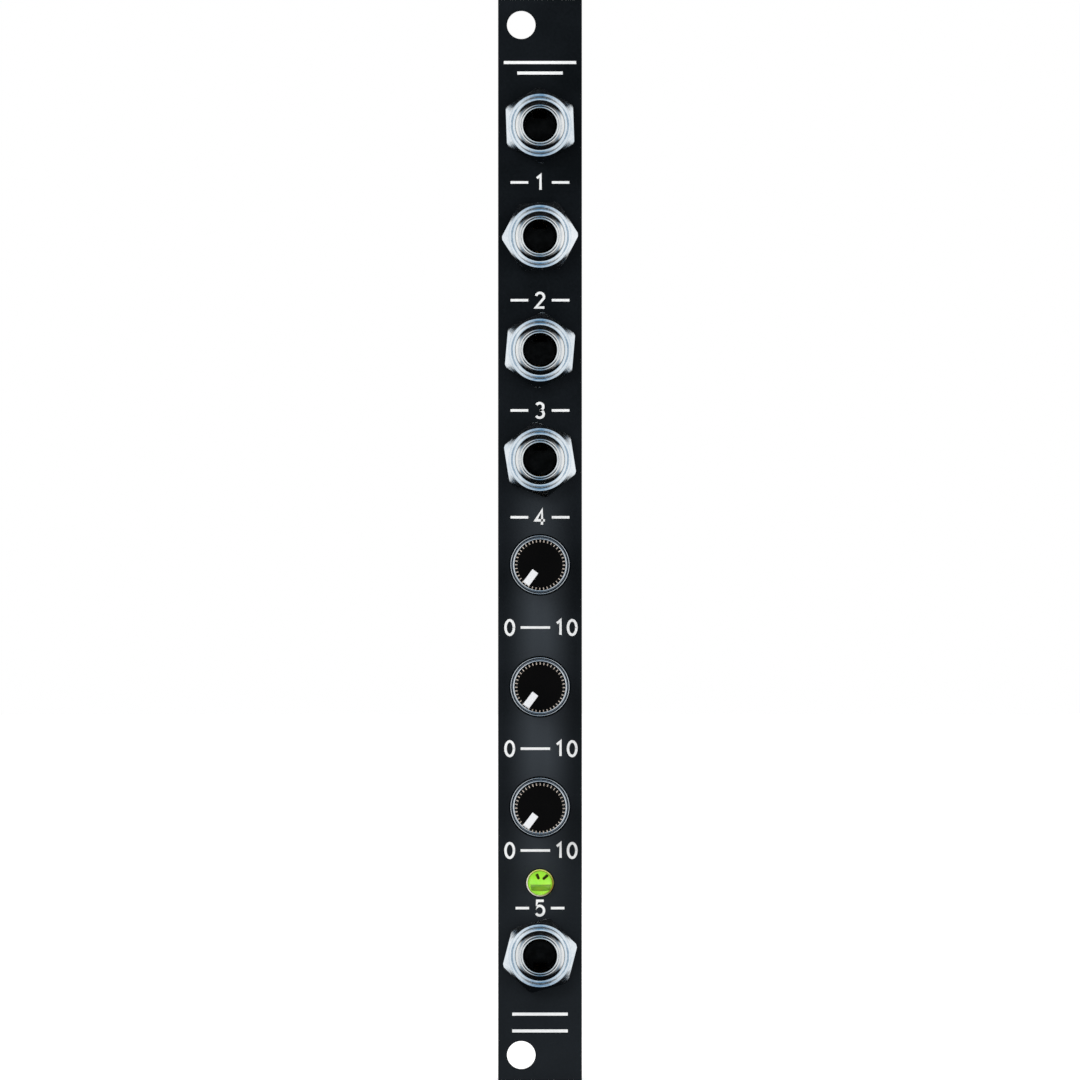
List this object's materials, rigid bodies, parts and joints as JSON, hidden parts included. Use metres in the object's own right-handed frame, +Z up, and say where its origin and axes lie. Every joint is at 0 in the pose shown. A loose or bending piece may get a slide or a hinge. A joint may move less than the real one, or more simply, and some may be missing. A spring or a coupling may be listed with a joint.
{
  "type": "eurorack synthesizer module",
  "caption": "Slim rack-synthesizer module: black panel with switched jacks, knurled rotary controls and a status lamp, on a control board and an upright main board.",
  "frame": {"origin": "on the panel's rear face, on its centre line, level with the lower fixing hole", "axes": "+Z up the panel, +Y back into the rack from the panel's rear face, +X to the right seen from the front"},
  "size_m": [0.01, 0.0533, 0.1285],
  "materials": {
    "panel_paint": "satin black powder coat on aluminium",
    "nickel_plate": "bright nickel plate",
    "nickel_nut": "bright nickel plate",
    "jack_plastic": "moulded black",
    "contact_bronze": "bare spring bronze",
    "bushing_steel": "turned, bare",
    "control_plastic": "moulded black",
    "wafer_phenolic": "phenolic sheet with tinned terminals",
    "shaft_plastic": "moulded black, knurled",
    "pointer_white": "white print",
    "lamp_epoxy": "clear tinted epoxy",
    "tinned_lead": "tinned",
    "solder_mask": "black solder mask on glass laminate",
    "connector_plastic": "moulded black",
    "chip_epoxy": "moulded epoxy",
    "crystal_can": "pressed nickel silver",
    "capacitor_sleeve": "shrink sleeve"
  },
  "bodies": {
    "module": {"front_panel": "panel_paint", "jack_1_bushing": "nickel_plate", "jack_1_nut": "nickel_nut", "jack_1_housing": "jack_plastic", "jack_1_switch_contact": "contact_bronze", "jack_2_bushing": "nickel_plate", "jack_2_nut": "nickel_nut", "jack_2_housing": "jack_plastic", "jack_2_switch_contact": "contact_bronze", "jack_3_bushing": "nickel_plate", "jack_3_nut": "nickel_nut", "jack_3_housing": "jack_plastic", "jack_3_switch_contact": "contact_bronze", "jack_4_bushing": "nickel_plate", "jack_4_nut": "nickel_nut", "jack_4_housing": "jack_plastic", "jack_4_switch_contact": "contact_bronze", "jack_5_bushing": "nickel_plate", "jack_5_nut": "nickel_nut", "jack_5_housing": "jack_plastic", "jack_5_switch_contact": "contact_bronze", "control_1_bushing": "bushing_steel", "control_1_housing": "control_plastic", "control_1_wafer": "wafer_phenolic", "control_2_bushing": "bushing_steel", "control_2_housing": "control_plastic", "control_2_wafer": "wafer_phenolic", "control_3_bushing": "bushing_steel", "control_3_housing": "control_plastic", "control_3_wafer": "wafer_phenolic", "lamp_lens": "lamp_epoxy", "lamp_cathode_lead": "tinned_lead", "lamp_anode_lead": "tinned_lead", "control_board": "solder_mask", "main_board": "solder_mask", "upper_link_socket": "connector_plastic", "upper_link_pins": "connector_plastic", "lower_link_socket": "connector_plastic", "lower_link_pins": "connector_plastic", "power_header": "connector_plastic", "microcontroller": "chip_epoxy", "amplifier_chip": "chip_epoxy", "voltage_regulator": "chip_epoxy", "crystal": "crystal_can", "capacitor_1": "capacitor_sleeve", "capacitor_2": "capacitor_sleeve", "diode_1": "chip_epoxy", "diode_2": "chip_epoxy"},
    "shaft_1": {"control_1_shaft": "shaft_plastic", "control_1_pointer": "pointer_white"},
    "shaft_2": {"control_2_shaft": "shaft_plastic", "control_2_pointer": "pointer_white"},
    "shaft_3": {"control_3_shaft": "shaft_plastic", "control_3_pointer": "pointer_white"},
    "spring_1": {"jack_1_tip_spring": "contact_bronze"},
    "spring_2": {"jack_2_tip_spring": "contact_bronze"},
    "spring_3": {"jack_3_tip_spring": "contact_bronze"},
    "spring_4": {"jack_4_tip_spring": "contact_bronze"},
    "spring_5": {"jack_5_tip_spring": "contact_bronze"}
  },
  "joints": [
    {"name": "control_1_turn", "type": "hinge", "parent": "module", "child": "shaft_1", "pos_m": [0, 0, 0.0583], "axis": [0, 1, 0], "range_deg": [0, 287]},
    {"name": "control_2_turn", "type": "hinge", "parent": "module", "child": "shaft_2", "pos_m": [0, 0, 0.04381], "axis": [0, 1, 0], "range_deg": [0, 287]},
    {"name": "control_3_turn", "type": "hinge", "parent": "module", "child": "shaft_3", "pos_m": [0, 0, 0.0295], "axis": [0, 1, 0], "range_deg": [0, 287]},
    {"name": "jack_1_tip_flex", "type": "hinge", "parent": "module", "child": "spring_1", "pos_m": [0, 0.0108, 0.11388], "axis": [-1, 0, 0], "range_deg": [0, 5], "stiffness_Nm_per_rad": 0.2},
    {"name": "jack_2_tip_flex", "type": "hinge", "parent": "module", "child": "spring_2", "pos_m": [0, 0.0108, 0.10068], "axis": [-1, 0, 0], "range_deg": [0, 5], "stiffness_Nm_per_rad": 0.2},
    {"name": "jack_3_tip_flex", "type": "hinge", "parent": "module", "child": "spring_3", "pos_m": [0, 0.0108, 0.08718], "axis": [-1, 0, 0], "range_deg": [0, 5], "stiffness_Nm_per_rad": 0.2},
    {"name": "jack_4_tip_flex", "type": "hinge", "parent": "module", "child": "spring_4", "pos_m": [0, 0.0108, 0.07419], "axis": [-1, 0, 0], "range_deg": [0, 5], "stiffness_Nm_per_rad": 0.2},
    {"name": "jack_5_tip_flex", "type": "hinge", "parent": "module", "child": "spring_5", "pos_m": [0, 0.0108, 0.00851], "axis": [1, 0, 0], "range_deg": [0, 5], "stiffness_Nm_per_rad": 0.2}
  ]
}
